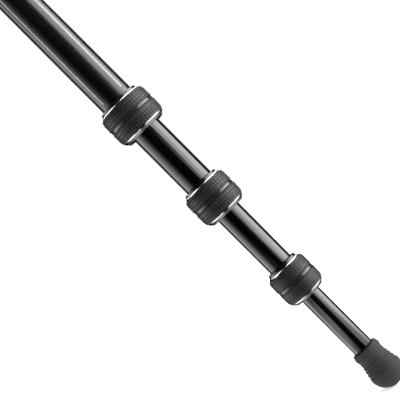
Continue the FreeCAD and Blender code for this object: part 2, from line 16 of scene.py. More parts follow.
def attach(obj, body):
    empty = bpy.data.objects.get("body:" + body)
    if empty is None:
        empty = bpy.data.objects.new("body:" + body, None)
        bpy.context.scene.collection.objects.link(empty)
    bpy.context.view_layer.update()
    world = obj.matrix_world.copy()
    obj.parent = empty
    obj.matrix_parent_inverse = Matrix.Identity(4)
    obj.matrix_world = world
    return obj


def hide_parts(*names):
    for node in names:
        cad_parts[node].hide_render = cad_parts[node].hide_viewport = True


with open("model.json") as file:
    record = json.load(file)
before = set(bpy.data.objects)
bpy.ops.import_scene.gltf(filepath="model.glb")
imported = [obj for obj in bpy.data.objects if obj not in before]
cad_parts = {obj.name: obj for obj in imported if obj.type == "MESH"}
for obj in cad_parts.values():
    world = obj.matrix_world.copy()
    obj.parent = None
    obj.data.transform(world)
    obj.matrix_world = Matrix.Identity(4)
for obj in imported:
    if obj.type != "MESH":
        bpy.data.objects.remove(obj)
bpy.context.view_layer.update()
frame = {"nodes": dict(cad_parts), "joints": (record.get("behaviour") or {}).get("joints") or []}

bl_info = {
    "name": "Travel Tripod",
    "version": (1, 0, 0),
    "blender": (4, 5, 0),
    "location": "View3D > Sidebar > Tripod",
    "description": "Builds the looks of a travel tripod round its packed model",
    "category": "Object",
}

MM = 0.001
FULL_TURN = 2 * math.pi
LEGS = ("leg1", "leg2", "leg3")
JOINTS = {joint["name"]: joint for joint in frame["joints"]}
NODES = frame["nodes"]
Extents = namedtuple("Extents", "inner outer start end")

# Facets round a full turn
RING_FACETS = 112
TUBE_FACETS = 128
FOOT_FACETS = 96
STUD_FACETS = 48
FLOOR_FACETS = 96

# Widths of softened edges
CASTING_EDGE = 0.4 * MM
TAB_EDGE = 0.3 * MM
HOOK_EDGE = 0.2 * MM
SMALL_EDGE = 0.15 * MM
FITTING_EDGE = 0.1 * MM


# Where things are, read from the frame

def radius_of(point):
    return math.hypot(point.x, point.y)


def placed_axes(origin, *axes):
    """A frame at origin with these three axes."""
    return Matrix.Translation(origin) @ Matrix(axes).transposed().to_4x4()


def local_frame(origin, down, across):
    """A frame at origin whose z points down and whose y points across."""
    z_axis = Vector(down).normalized()
    y_axis = Vector(across).normalized()
    return placed_axes(origin, y_axis.cross(z_axis), y_axis, z_axis)


def leg_frame(leg):
    hinge = JOINTS[f"{leg}_hinge"]
    return local_frame(hinge["pos_m"], JOINTS[f"{leg}_tab_slide"]["axis"], -Vector(hinge["axis"]))


def extents(node, place):
    """A node's smallest and largest radius and height in a frame turned to its axis."""
    back = place.inverted()
    points = [back @ vertex.co for vertex in NODES[node].data.vertices]
    radii = [radius_of(point) for point in points]
    heights = [point.z for point in points]
    return Extents(min(radii), max(radii), min(heights), max(heights))


COLUMN_FRAME = Matrix.Identity(4)
PLACES = {leg: leg_frame(leg) for leg in LEGS}


def lock_list():
    """Each twist lock: its name, which is its body's too, its frame and its narrow tube."""
    locks = [("column_lock", COLUMN_FRAME, "column_tube")]
    for leg in LEGS:
        for number in (1, 2, 3):
            locks.append((f"{leg}_lock_{number}", PLACES[leg], f"{leg}_tube_{number + 1}"))
    return locks


# Sizes and colours that a user would change

def length_property(name, description, default):
    """A length in metres, shown with enough digits for small sizes."""
    return FloatProperty(
        name=name, description=description, default=default, unit="LENGTH", precision=6)


def colour_property(name, description, default):
    return FloatVectorProperty(
        name=name, description=description, default=default, subtype="COLOR", size=3, min=0, max=1)


class GripSettings(bpy.types.PropertyGroup):
    knurl_pitch: length_property("Knurl pitch", "Width of one diamond of the knurl", 2.1 * MM)
    knurl_height: length_property("Knurl height", "Height of a diamond over its valleys", 0.25 * MM)
    rows: IntProperty(
        name="Rows", description="Rows of cells along each knurled band", default=4, min=1)
    groove_width: length_property(
        "Groove width", "Width of the smooth groove round the middle", 2.4 * MM)
    groove_depth: length_property("Groove depth", "Depth of the smooth groove", 0.25 * MM)
    nick_width: length_property(
        "Nick width", "Width of the sharp nicks along the groove's edges", 0.42 * MM)
    nick_depth: length_property(
        "Nick depth", "Depth of the nicks under the groove's floor", 0.2 * MM)
    # the end gap's darkness is partly its depth and partly painted shade in the rubber's colour
    end_gap: length_property("End gap", "Dark gap between the grip and the bright metal", 0.6 * MM)
    gap_depth: length_property("Gap depth", "Depth of the gap under the grip's first row", 0.8 * MM)
    shoulder_drop: length_property(
        "Shoulder drop", "How far the ends of the grip slope in", 0.7 * MM)
    shoulder_length: length_property("Shoulder length", "Length of the sloping ends", 1.7 * MM)
    colour: colour_property("Rubber", "Colour of the grip's rubber", (0.022, 0.022, 0.023))


class RingSettings(bpy.types.PropertyGroup):
    seat: length_property("Grip seat", "Grip seat's radius over the wide tube's", 3.3 * MM)
    bezel_inner: length_property(
        "Bezel start", "Bezel's small radius over the wide tube's", 2.6 * MM)
    bezel_outer: length_property("Bezel end", "Bezel's large radius over the wide tube's", 3.6 * MM)
    rim_outer: length_property(
        "Rim start", "Bright rim's large radius over the wide tube's", 4.2 * MM)
    rim_inner: length_property(
        "Rim end", "Bright rim's small radius over the wide tube's", 3.5 * MM)
    rim_length: length_property("Rim length", "Length of the bright rim", 0.9 * MM)
    lip_outer: length_property(
        "Lip start", "Satin lip's large radius over the wide tube's", 3.3 * MM)
    lip_inner: length_property("Lip end", "Satin lip's small radius over the wide tube's", 1.9 * MM)
    lip_gap: length_property("Lip gap", "Gap between the lip and the narrow tube", 0.35 * MM)
    bore: length_property("Bore", "Bore's radius over the wide tube's", 1.25 * MM)
    edge: length_property("Edge break", "Width of the small break on each turned edge", 0.12 * MM)
    colour: colour_property("Aluminium", "Colour of the turned aluminium", (0.8, 0.8, 0.81))


class TubeSettings(bpy.types.PropertyGroup):
    stripe_angle: FloatProperty(
        name="Stripe angle",
        description="Angle of each pinstripe from the middle of the leg's side",
        default=math.radians(42.6), subtype="ANGLE")
    stripe_width: length_property("Stripe width", "Width of a pinstripe", 0.7 * MM)
    stripe_stop: length_property(
        "Stripe stop", "Bare length between a pinstripe and the lock", 3.9 * MM)
    colour: colour_property("Anodised black", "Colour of the tubes", (0.0012, 0.0012, 0.0014))


class FootSettings(bpy.types.PropertyGroup):
    top_wall: length_property("Top wall", "Rubber's wall at the foot's top and waist", 1.9 * MM)
    collar_wall: length_property("Collar wall", "Rubber's wall at the collar's crown", 2.6 * MM)
    collar_length: length_property(
        "Collar length", "From the foot's top to the collar's crown", 3 * MM)
    ribs: IntProperty(name="Ribs", description="Grooves round the foot's flank", default=4, min=0)
    rib_depth: length_property("Rib depth", "Depth of the grooves round the flank", 0.5 * MM)
    tread_depth: length_property("Tread depth", "Depth of the rings under the foot", 0.5 * MM)
    tread_start: FloatProperty(
        name="Tread start", description="Angle of the first ring under the ball's middle",
        default=math.radians(42), subtype="ANGLE")


class HeadSettings(bpy.types.PropertyGroup):
    plate_thickness: length_property(
        "Plate thickness", "Thickness of the plate that a head stands on", 8 * MM)
    spigot_radius: length_property(
        "Spigot radius", "Radius of the plate's spigot in the column", 10.3 * MM)
    plate_bevel: length_property("Plate bevel", "Bevel under the plate's rim", 1.2 * MM)
    relief_radius: length_property(
        "Relief radius", "Radius of the relief round the stud", 5.3625 * MM)
    relief_depth: length_property("Relief depth", "Depth of the relief round the stud", 1 * MM)
    rim_teeth: IntProperty(
        name="Rim teeth", description="Teeth of the coin edge round the plate",
        default=120, min=12)
    tooth_depth: length_property("Tooth depth", "Depth of the coin edge", 0.3 * MM)
    thread_pitch: length_property(
        "Thread pitch", "Pitch of the 3/8 inch thread, 16 turns to the inch", 25.4 / 16 * MM)
    core_radius: length_property("Core radius", "Radius at the thread's root", 3.95 * MM)
    tip_chamfer: length_property("Tip chamfer", "Chamfer on the stud's tip", 1 * MM)


class StageSettings(bpy.types.PropertyGroup):
    picture_width: length_property(
        "Picture width", "Width of what the picture shows at the leg", 239 * MM)
    distance: length_property("Distance", "From the camera to the leg", 748 * MM)
    along: length_property(
        "Along", "Picture's middle, measured down the leg from its hinge", 376.5 * MM)
    aside: length_property(
        "Aside", "Picture's middle, measured from the leg towards the column", 6.9 * MM)
    slope: FloatProperty(
        name="Slope", description="Angle at which the leg runs down across the picture",
        default=math.radians(45.1), subtype="ANGLE")
    floor_radius: length_property("Floor radius", "Radius of the round floor", 12.0)
    fade_radius: length_property("Fade radius", "Radius beyond which the floor is plain white", 2.2)
    near_white: FloatProperty(
        name="Near white", description="How far the floor near the feet glows by itself",
        default=0.6, min=0, max=1)
    glow: FloatProperty(
        name="Mirrored glow", description="Brightest part of the floor that gloss sees",
        default=2.3, min=0)


# Node helpers and node groups shared by the materials

def feed(tree, source, socket):
    """Sets a socket to a number, or links another socket to it."""
    if isinstance(source, (int, float)):
        socket.default_value = source
    else:
        tree.links.new(source, socket)


def arithmetic(tree, operation, *terms):
    node = tree.nodes.new("ShaderNodeMath")
    node.operation = operation
    for term, socket in zip(terms, node.inputs):
        feed(tree, term, socket)
    return node.outputs["Value"]


def map_range(tree, value, low, high, start=0.0, end=1.0, interpolation="LINEAR"):
    """Maps start..end to low..high, each a number or a socket."""
    mapping = tree.nodes.new("ShaderNodeMapRange")
    mapping.interpolation_type = interpolation
    sources = {"Value": value, "From Min": start, "From Max": end, "To Min": low, "To Max": high}
    for name, source in sources.items():
        feed(tree, source, mapping.inputs[name])
    return mapping.outputs["Result"]


def soft_step(tree, value, start, end):
    """0 at start and 1 at end, with a soft rise between them."""
    return map_range(tree, value, 0, 1, start, end, "SMOOTHSTEP")


def noise(tree, vector, scale, detail):
    node = tree.nodes.new("ShaderNodeTexNoise")
    node.inputs["Detail"].default_value = detail
    feed(tree, vector, node.inputs["Vector"])
    feed(tree, scale, node.inputs["Scale"])
    return node.outputs["Fac"]


def attribute(tree, name):
    """A number that the mesh keeps at each vertex."""
    node = tree.nodes.new("ShaderNodeAttribute")
    node.attribute_name = name
    return node.outputs["Fac"]


def shaded_colour(tree, colour, factor):
    """The colour multiplied by a factor that changes over the surface."""
    scale = tree.nodes.new("ShaderNodeVectorMath")
    scale.operation = "SCALE"
    feed(tree, colour, scale.inputs[0])
    feed(tree, factor, scale.inputs["Scale"])
    return scale.outputs["Vector"]


def new_group(name, inputs, outputs):
    """A node group with these sockets, the values that it is given and what it puts out."""
    group = bpy.data.node_groups.new(name, "ShaderNodeTree")
    for socket_name, default in inputs.items():
        kind = "NodeSocketColor" if isinstance(default, tuple) else "NodeSocketFloat"
        socket = group.interface.new_socket(name=socket_name, in_out="INPUT", socket_type=kind)
        socket.default_value = default
    for socket_name, kind in outputs.items():
        group.interface.new_socket(name=socket_name, in_out="OUTPUT", socket_type=kind)
    given = group.nodes.new("NodeGroupInput").outputs
    out = group.nodes.new("NodeGroupOutput").inputs
    return group, given, out


def make_grain_group():
    """Mottled colour, roughness and fine bump, all from noise on Object coordinates."""
    group, given, out = new_group("surface_grain", {
        "Colour": (0.1, 0.1, 0.1, 1),
        "Mottle": 0.1,
        "Roughness": 0.5,
        "Roughness Spread": 0.1,
        "Grain Scale": 2500,
        "Bump Strength": 0.1,
        "Bump Depth": 0.1 * MM,
    }, {
        "Colour": "NodeSocketColor",
        "Roughness": "NodeSocketFloat",
        "Normal": "NodeSocketVector",
    })
    place = group.nodes.new("ShaderNodeTexCoord").outputs["Object"]
    broad = noise(group, place, scale=45, detail=4)
    fine = noise(group, place, scale=given["Grain Scale"], detail=2)
    both = arithmetic(group, "ADD", broad, fine)
    mean = arithmetic(group, "MULTIPLY", both, 0.5)
    darkest = arithmetic(group, "SUBTRACT", 1.0, given["Mottle"])
    lightest = arithmetic(group, "ADD", 1.0, given["Mottle"])
    shade = map_range(group, mean, darkest, lightest)
    feed(group, shaded_colour(group, given["Colour"], shade), out["Colour"])
    half = arithmetic(group, "MULTIPLY", given["Roughness Spread"], 0.5)
    smoothest = arithmetic(group, "SUBTRACT", given["Roughness"], half)
    roughest = arithmetic(group, "ADD", given["Roughness"], half)
    feed(group, map_range(group, broad, smoothest, roughest), out["Roughness"])
    bump = group.nodes.new("ShaderNodeBump")
    feed(group, given["Bump Strength"], bump.inputs["Strength"])
    feed(group, given["Bump Depth"], bump.inputs["Distance"])
    feed(group, fine, bump.inputs["Height"])
    feed(group, bump.outputs["Normal"], out["Normal"])
    return group


def make_turning_group():
    """Fine rings left by the lathe, from the profile length kept in the mesh."""
    group, given, out = new_group("turning_marks", {
        "Colour": (0.8, 0.8, 0.8, 1),
        "Mark Depth": 0.04,
        "Roughness": 0.2,
        "Roughness Spread": 0.1,
    }, {
        "Colour": "NodeSocketColor",
        "Roughness": "NodeSocketFloat",
    })
    marks = group.nodes.new("ShaderNodeTexNoise")
    marks.noise_dimensions = "1D"
    marks.inputs["Scale"].default_value = 9000
    marks.inputs["Detail"].default_value = 3
    feed(group, attribute(group, "profile"), marks.inputs["W"])
    darkest = arithmetic(group, "SUBTRACT", 1.0, given["Mark Depth"])
    shade = map_range(group, marks.outputs["Fac"], darkest, 1.0)
    feed(group, shaded_colour(group, given["Colour"], shade), out["Colour"])
    roughest = arithmetic(group, "ADD", given["Roughness"], given["Roughness Spread"])
    rough = map_range(group, marks.outputs["Fac"], given["Roughness"], roughest)
    feed(group, rough, out["Roughness"])
    return group


def shared_group(name, maker):
    return bpy.data.node_groups.get(name) or maker()


def new_material(name, **sockets):
    """A material with its Principled shader set from the given sockets."""
    material = bpy.data.materials.new(name)
    material.use_nodes = True
    shader = material.node_tree.nodes["Principled BSDF"]
    for socket, value in sockets.items():
        shader.inputs[socket.replace("_", " ")].default_value = value
    return material, shader


def grouped_material(name, group, values, **sockets):
    """A material whose surface comes from a node group with these values, made only once."""
    existing = bpy.data.materials.get(name)
    if existing:
        return existing
    material, shader = new_material(name, **sockets)
    tree = material.node_tree
    node = tree.nodes.new("ShaderNodeGroup")
    node.node_tree = group
    for socket, value in values.items():
        node.inputs[socket].default_value = value
    targets = {"Colour": "Base Color", "Roughness": "Roughness", "Normal": "Normal"}
    for output in node.outputs:
        tree.links.new(output, shader.inputs[targets[output.name]])
    return material


def grain_material(name, colour, *, mottle, roughness, spread, grain, bump, depth, **sockets):
    """A finish with a fine grain: grain is its noise scale, bump and depth its relief."""
    return grouped_material(name, shared_group("surface_grain", make_grain_group), {
        "Colour": (*colour, 1),
        "Mottle": mottle,
        "Roughness": roughness,
        "Roughness Spread": spread,
        "Grain Scale": grain,
        "Bump Strength": bump,
        "Bump Depth": depth,
    }, **sockets)


def turned_material(name, colour, *, mark_depth, roughness, spread):
    """Bare metal with the lathe's marks."""
    return grouped_material(name, shared_group("turning_marks", make_turning_group), {
        "Colour": (*colour, 1),
        "Mark Depth": mark_depth,
        "Roughness": roughness,
        "Roughness Spread": spread,
    }, Metallic=1.0)


# Materials, one function for each finish

def glossy_anodised(settings):
    return grain_material(
        "anodised_gloss", settings.colour, mottle=0.1, roughness=0.16, spread=0.03,
        grain=1800, bump=0.02, depth=0.02 * MM, IOR=1.95)


def satin_anodised(settings):
    return grain_material(
        "anodised_satin", settings.colour, mottle=0.1, roughness=0.24, spread=0.04,
        grain=1800, bump=0.03, depth=0.02 * MM, IOR=1.85)


def pinstripe_silver():
    return grain_material(
        "pinstripe_silver", (0.6, 0.6, 0.61), mottle=0.05, roughness=0.45, spread=0.06,
        grain=1500, bump=0.05, depth=0.02 * MM)


def knurled_rubber(settings):
    """Rubber with painted shade: dark in the valleys between the diamonds, light on their tips,
    which hands have worn smoother.
    """
    existing = bpy.data.materials.get("knurled_rubber")
    if existing:
        return existing
    material = grain_material(
        "knurled_rubber", settings.colour, mottle=0.2, roughness=0.42, spread=0.08,
        grain=2600, bump=0.12, depth=0.04 * MM, IOR=1.65)
    tree = material.node_tree
    shader = tree.nodes["Principled BSDF"]
    grained = shader.inputs["Base Color"].links[0].from_socket
    rough = shader.inputs["Roughness"].links[0].from_socket
    # painted shade: the colour darkens in the valleys and is light on the tips
    crest = attribute(tree, "crest")
    painted_valley_shade = map_range(tree, crest, low=0.02, high=2.8)
    feed(tree, shaded_colour(tree, grained, painted_valley_shade), shader.inputs["Base Color"])
    smoother = map_range(tree, crest, low=1.5, high=0.65)
    feed(tree, arithmetic(tree, "MULTIPLY", rough, smoother), shader.inputs["Roughness"])
    return material


def smooth_rubber(settings):
    """The groove's rubber, darker and glossier than the knurl."""
    colour = [channel * 0.6 for channel in settings.colour]
    return grain_material(
        "smooth_rubber", colour, mottle=0.12, roughness=0.26, spread=0.06,
        grain=2600, bump=0.06, depth=0.03 * MM, IOR=1.95)


def gap_shade_rubber():
    """Rough rubber in the narrow gaps and nicks, darker than the grip's as painted shade of these
    hollows.
    """
    return grain_material(
        "gap_shade_rubber", (0.008, 0.008, 0.008), mottle=0.2, roughness=0.9, spread=0.05,
        grain=2600, bump=0.1, depth=0.04 * MM, IOR=1.2)


def foot_rubber():
    return grain_material(
        "foot_rubber", (0.011, 0.011, 0.012), mottle=0.2, roughness=0.5, spread=0.12,
        grain=1500, bump=0.3, depth=0.06 * MM)


def bright_aluminium(settings):
    return turned_material(
        "turned_bright", settings.colour, mark_depth=0.06, roughness=0.1, spread=0.08)


def satin_aluminium(settings):
    """The lip's aluminium, duller and darker than the bright rings."""
    colour = [channel * 0.38 for channel in settings.colour]
    return turned_material("turned_satin", colour, mark_depth=0.08, roughness=0.32, spread=0.1)


def black_turned():
    return grain_material(
        "black_turned", (0.012, 0.012, 0.013), mottle=0.1, roughness=0.28, spread=0.06,
        grain=1800, bump=0.06, depth=0.03 * MM, IOR=1.8)


def powder_coat():
    return grain_material(
        "powder_coat", (0.014, 0.014, 0.015), mottle=0.15, roughness=0.42, spread=0.08,
        grain=2200, bump=0.45, depth=0.08 * MM)


def blasted_aluminium():
    return grain_material(
        "blasted_aluminium", (0.42, 0.42, 0.43), mottle=0.06, roughness=0.42, spread=0.06,
        grain=2400, bump=0.12, depth=0.04 * MM, Metallic=1.0)


def black_nylon():
    return grain_material(
        "black_nylon", (0.003, 0.003, 0.003), mottle=0.1, roughness=0.2, spread=0.05,
        grain=2000, bump=0.05, depth=0.03 * MM, IOR=1.95)


def plated_steel():
    return grain_material(
        "plated_steel", (0.55, 0.55, 0.56), mottle=0.06, roughness=0.3, spread=0.08,
        grain=1800, bump=0.05, depth=0.02 * MM, Metallic=1.0)


# Mesh helpers

def draw_outline(mesh, points, closed=True):
    """Draws (radius, height) points as a line and gives back its vertices and edges."""
    verts = [mesh.verts.new((radius, 0, height)) for radius, height in points]
    pairs = list(zip(verts, verts[1:]))
    if closed:
        pairs.append((verts[-1], verts[0]))
    return verts + [mesh.edges.new(pair) for pair in pairs]


def spin_about_z(mesh, line, angle, steps, rise=0.0, merge=False):
    """Sweeps a line about z, lifted by rise at each step."""
    bmesh.ops.spin(
        mesh, geom=line, cent=(0, 0, 0), axis=(0, 0, 1), dvec=(0, 0, rise), angle=angle,
        steps=steps, use_merge=merge, use_duplicate=False)


def turned_mesh(outline, facets, closed=True):
    """An outline of (radius, height) points turned a full turn."""
    mesh = bmesh.new()
    spin_about_z(mesh, draw_outline(mesh, outline, closed), FULL_TURN, facets, merge=True)
    bmesh.ops.remove_doubles(mesh, verts=mesh.verts, dist=1e-7)
    bmesh.ops.recalc_face_normals(mesh, faces=mesh.faces)
    return mesh


def round_edges(mesh, width, least_angle=math.radians(25)):
    """Bevels each edge that turns by more than the least angle."""
    edges = [
        edge for edge in mesh.edges
        if len(edge.link_faces) == 2 and edge.calc_face_angle(0) > least_angle
    ]
    bmesh.ops.bevel(
        mesh, geom=edges, offset=width, offset_type="OFFSET", segments=2,
        profile=0.5, affect="EDGES", clamp_overlap=True, material=-1)
    bmesh.ops.dissolve_degenerate(mesh, edges=mesh.edges, dist=2e-6)


def merged_copy(node):
    """A CAD node's mesh with its loose triangles joined and its flat faces made whole."""
    mesh = bmesh.new()
    mesh.from_mesh(NODES[node].data)
    bmesh.ops.remove_doubles(mesh, verts=mesh.verts, dist=1e-6)
    # solids that only touch at a corner are parted again
    for vert in [vert for vert in mesh.verts if not vert.is_manifold]:
        bmesh.utils.vert_separate(vert, ())
    bmesh.ops.recalc_face_normals(mesh, faces=mesh.faces)
    bmesh.ops.dissolve_limit(
        mesh, angle_limit=math.radians(0.5), verts=mesh.verts, edges=mesh.edges)
    return mesh


def scale_radius(vert, factor):
    vert.co.x *= factor
    vert.co.y *= factor


def keep_profile(mesh):
    """Stores radius plus height at each vertex, which the lathe marks follow."""
    layer = mesh.verts.layers.float.new("profile")
    for vert in mesh.verts:
        vert[layer] = radius_of(vert.co) + vert.co.z


def smooth_all(mesh):
    for face in mesh.faces:
        face.smooth = True


def add_piece(name, mesh, place, materials, body, stands_for=(), sharp=math.radians(38)):
    """Turns a bmesh into a placed piece that rides on a body."""
    data = bpy.data.meshes.new(name)
    mesh.to_mesh(data)
    mesh.free()
    data.transform(place)
    for material in materials:
        data.materials.append(material)
    data.set_sharp_from_angle(angle=sharp)
    piece = bpy.data.objects.new(name, data)
    bpy.context.scene.collection.objects.link(piece)
    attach(piece, body)
    if stands_for:
        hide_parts(*stands_for)
    return piece


def dress_node(node, suffix, body, material, width):
    """Replaces a CAD node by its own form with softened edges."""
    mesh = merged_copy(node)
    round_edges(mesh, width)
    smooth_all(mesh)
    add_piece(f"{node}_{suffix}", mesh, Matrix.Identity(4), [material], body, [node])


def paint_node(node, material):
    """Gives a node of the frame a better material."""
    slots = NODES[node].data.materials
    if not slots:
        slots.append(material)
    for index in range(len(slots)):
        slots[index] = material


# Knurled grips

# The grip's material slots, of which the first is the knurled rubber
SMOOTH, GAP_SHADE = 1, 2
# Depth of the valleys at the ends of a knurled row, as a share of a diamond's height
VALLEY_SHARE = 0.6
# Depth of the gap on the rim's side, as a share of the gap on the bezel's side
RIM_GAP_SHARE = 0.3
# The crest attribute is 1 on a diamond's tip, this in the valleys and 0 on smooth rubber; the
# knurled rubber's colour follows it as painted shade
VALLEY_CREST = 0.1


def grip_radius(settings, outer, from_end):
    """The grip's outline: round over the sloping shoulder, then straight."""
    drop, length = settings.shoulder_drop, settings.shoulder_length
    if from_end >= length:
        return outer
    crown = (drop ** 2 + length ** 2) / (2 * drop)
    return outer - crown + math.sqrt(crown ** 2 - (length - from_end) ** 2)


def knurl_cells(mesh, height, is_knurled):
    """Raises a diamond on every edge inside the knurled bands."""
    faces = [face for face in mesh.faces if is_knurled(face.calc_center_median())]
    chosen = set(faces)
    inner = [
        edge for edge in mesh.edges
        if len(edge.link_faces) == 2 and all(face in chosen for face in edge.link_faces)
    ]
    crest = mesh.verts.layers.float.new("crest")
    for vert in mesh.verts:
        vert[crest] = VALLEY_CREST if any(face in chosen for face in vert.link_faces) else 0.0
    for vert in bmesh.ops.poke(mesh, faces=faces)["verts"]:
        vert[crest] = VALLEY_CREST
    split = bmesh.ops.subdivide_edges(mesh, edges=inner, cuts=1)
    for item in split["geom_inner"]:
        if isinstance(item, bmesh.types.BMVert):
            radius = radius_of(item.co)
            scale_radius(item, (radius + height) / radius)
            item[crest] = 1.0


def build_grip(settings, lock, place):
    """One rubber grip: two knurled bands with a smooth groove between them."""
    seat, outer, start, end = extents(f"{lock}_grip", place)
    middle = (start + end) / 2
    half_groove = settings.groove_width / 2
    first_start = start + settings.end_gap
    band = middle - half_groove - first_start
    first_half = []
    for row in range(settings.rows + 1):
        from_end = band * row / settings.rows
        dip = 0 if row == settings.rows else settings.knurl_height * VALLEY_SHARE
        first_half.append((grip_radius(settings, outer, from_end) - dip, first_start + from_end))
    tuck = first_half[0][0] - settings.gap_depth
    shallow_tuck = first_half[0][0] - settings.gap_depth * RIM_GAP_SHARE
    floor = outer - settings.groove_depth
    nick, nick_floor = settings.nick_width, floor - settings.nick_depth
    first_half += [
        (nick_floor, middle - half_groove),
        (nick_floor, middle - half_groove + nick / 2),
        (floor, middle - half_groove + nick),
    ]
    second_half = [(radius, start + end - height) for radius, height in reversed(first_half)]
    outline = [
        (seat, start),
        (tuck, start),
        (tuck, first_start),
        *first_half,
        *second_half,
        (shallow_tuck, start + end - first_start),
        (shallow_tuck, end),
        (seat, end),
    ]
    mesh = turned_mesh(outline, round(FULL_TURN * outer / settings.knurl_pitch))
    # limits between the seat and the skin, and just past the nick's wall
    least_radius, nick_wall = seat * 1.02, half_groove * 1.001

    def is_knurled(centre):
        in_band = half_groove < abs(centre.z - middle) < half_groove + band
        return in_band and radius_of(centre) > least_radius

    for face in mesh.faces:
        centre = face.calc_center_median()
        from_middle = abs(centre.z - middle)
        face.smooth = not is_knurled(centre)
        # the nicks and the gap at the grip's start take the darker rubber, painted shade of these
        # narrow hollows
        in_nick = half_groove - nick / 2 < from_middle < nick_wall
        if in_nick or centre.z < first_start:
            face.material_index = GAP_SHADE
        elif from_middle < half_groove:
            face.material_index = SMOOTH
    knurl_cells(mesh, settings.knurl_height, is_knurled)
    rubber = [knurled_rubber(settings), smooth_rubber(settings), gap_shade_rubber()]
    add_piece(f"{lock}_rubber", mesh, place, rubber, lock, [f"{lock}_grip"])


# Turned lock rings

# The ring's material slots, of which the first is the bright metal
SATIN, BLACK = 1, 2
# Faces at least this far under the grip's seat are the black bore
BORE_MARGIN = 2 * MM


def build_ring(settings, lock, place, narrow):
    """One turned ring: bright bezel and rim, satin lip, bore and cone."""
    ring = extents(f"{lock}_ring", place)
    grip = extents(f"{lock}_grip", place)
    tube = grip.inner - settings.seat
    lip_bore = extents(narrow, place).outer + settings.lip_gap
    rim_end = grip.end + settings.rim_length
    outline = [
        (tube + settings.bore, ring.start),
        (tube + settings.bezel_inner, ring.start),
        (tube + settings.bezel_outer, grip.start),
        (grip.inner, grip.start),
        (grip.inner, grip.end),
        (tube + settings.rim_outer, grip.end),
        (tube + settings.rim_inner, rim_end),
        (tube + settings.lip_outer, rim_end),
        (tube + settings.lip_inner, ring.end),
        (lip_bore, ring.end),
        (lip_bore, grip.end),
    ]
    mesh = turned_mesh(outline, RING_FACETS)
    round_edges(mesh, settings.edge)
    keep_profile(mesh)
    smooth_all(mesh)
    for face in mesh.faces:
        centre = face.calc_center_median()
        in_bore = radius_of(centre) < grip.inner - BORE_MARGIN
        # the bore and the lip's end face are black-anodised metal; on the end face the black is
        # also painted shade of the gap at the lip's mouth
        if centre.z > ring.end - settings.edge or in_bore:
            face.material_index = BLACK
        elif centre.z > rim_end:
            face.material_index = SATIN
    finishes = [bright_aluminium(settings), satin_aluminium(settings), black_turned()]
    add_piece(f"{lock}_turned", mesh, place, finishes, lock, [f"{lock}_ring"])


# Tubes

def build_tube(node, body, place, material):
    """One plain tube with its ends lightly broken."""
    inner, outer, start, end = extents(node, place)
    outline = [(inner, start), (outer, start), (outer, end), (inner, end)]
    mesh = turned_mesh(outline, TUBE_FACETS)
    round_edges(mesh, SMALL_EDGE)
    smooth_all(mesh)
    add_piece(f"{node}_drawn", mesh, place, [material], body, [node])


def build_pinstripe(settings, leg, side):
    """One thin bright line let into the upper tube."""
    place = PLACES[leg]
    radius = extents(f"{leg}_upper_tube", place).outer
    top = extents(f"{leg}_hinge_casting", place).end + settings.stripe_stop
    bottom = extents(f"{leg}_upper_fittings", place).start - settings.stripe_stop
    proud, sunk = radius + 0.02 * MM, radius - 0.1 * MM
    half = settings.stripe_width / radius / 2
    # the pair lies either side of the line that faces along the bolt
    middle = -math.pi / 2 + side * settings.stripe_angle
    mesh = bmesh.new()
    line = draw_outline(mesh, [(sunk, top), (proud, top), (proud, bottom), (sunk, bottom)])
    bmesh.ops.rotate(
        mesh, cent=(0, 0, 0), matrix=Matrix.Rotation(middle - half, 3, "Z"), verts=mesh.verts)
    spin_about_z(mesh, line, 2 * half, steps=3)
    bmesh.ops.holes_fill(mesh, edges=mesh.edges, sides=4)
    bmesh.ops.recalc_face_normals(mesh, faces=mesh.faces)
    smooth_all(mesh)
    name = f"{leg}_pinstripe_{'left' if side < 0 else 'right'}"
    add_piece(name, mesh, place, [pinstripe_silver()], leg)


# Feet

# A groove between two ribs: place along the ribs' pitch and share of the groove's depth
RIB_GROOVE = ((-0.3, 0), (-0.15, 1), (0.15, 1), (0.3, 0))
# Steps of the ball's outline, of which every fourth is sunk as a groove of the tread
BALL_STEPS = 36
TREAD_EVERY = 4


def build_foot(settings, leg):
    """Rubber foot: collar round the tube's end, grooved flank and a ball with tread rings."""
    place = PLACES[leg]
    _, ball, top, end = extents(f"{leg}_foot", place)
    _, tube, _, tube_end = extents(f"{leg}_tube_4", place)
    centre = end - ball
    waist = top + 2 * settings.collar_length
    outline = [
        (0, tube_end),
        (tube, tube_end),
        (tube, top),
        (tube + settings.top_wall, top),
        (tube + settings.collar_wall, top + settings.collar_length),
        (tube + settings.top_wall, waist),
    ]
    flank = centre - waist
    spread = ball - tube - settings.top_wall
    rib = flank / (settings.ribs + 1)
    for number in range(1, settings.ribs + 1):
        for shift, share in RIB_GROOVE:
            down = (number + shift) * rib
            radius = tube + settings.top_wall + spread * down / flank
            outline.append((radius - share * settings.rib_depth, waist + down))
    for step in range(BALL_STEPS):
        angle = math.pi / 2 * step / BALL_STEPS
        is_tread = angle > settings.tread_start and step % TREAD_EVERY == 0
        radius = ball - settings.tread_depth * is_tread
        outline.append((radius * math.cos(angle), centre + radius * math.sin(angle)))
    outline.append((0, end))
    mesh = turned_mesh(outline, FOOT_FACETS, closed=False)
    round_edges(mesh, SMALL_EDGE, least_angle=math.radians(35))
    smooth_all(mesh)
    add_piece(f"{leg}_foot_rubber", mesh, place, [foot_rubber()],
              f"{leg}_section_4", [f"{leg}_foot"])


# Head plate and stud

# Shallow rings in the plate's face: radius of the outermost, step inwards, count and section
FACE_RING_RADIUS = 16.5 * MM
FACE_RING_STEP = 2.5 * MM
FACE_RINGS = 4
FACE_RING_WIDTH = 0.5 * MM
FACE_RING_DEPTH = 0.3 * MM
# The coin edge lies a hair inside the rim. Its teeth run out over a short slope and start
# this many bevels above the plate's underside.
COIN_EDGE_INSET = 0.01 * MM
TOOTH_RUN_OUT = 0.2 * MM
TOOTH_START = 1.6


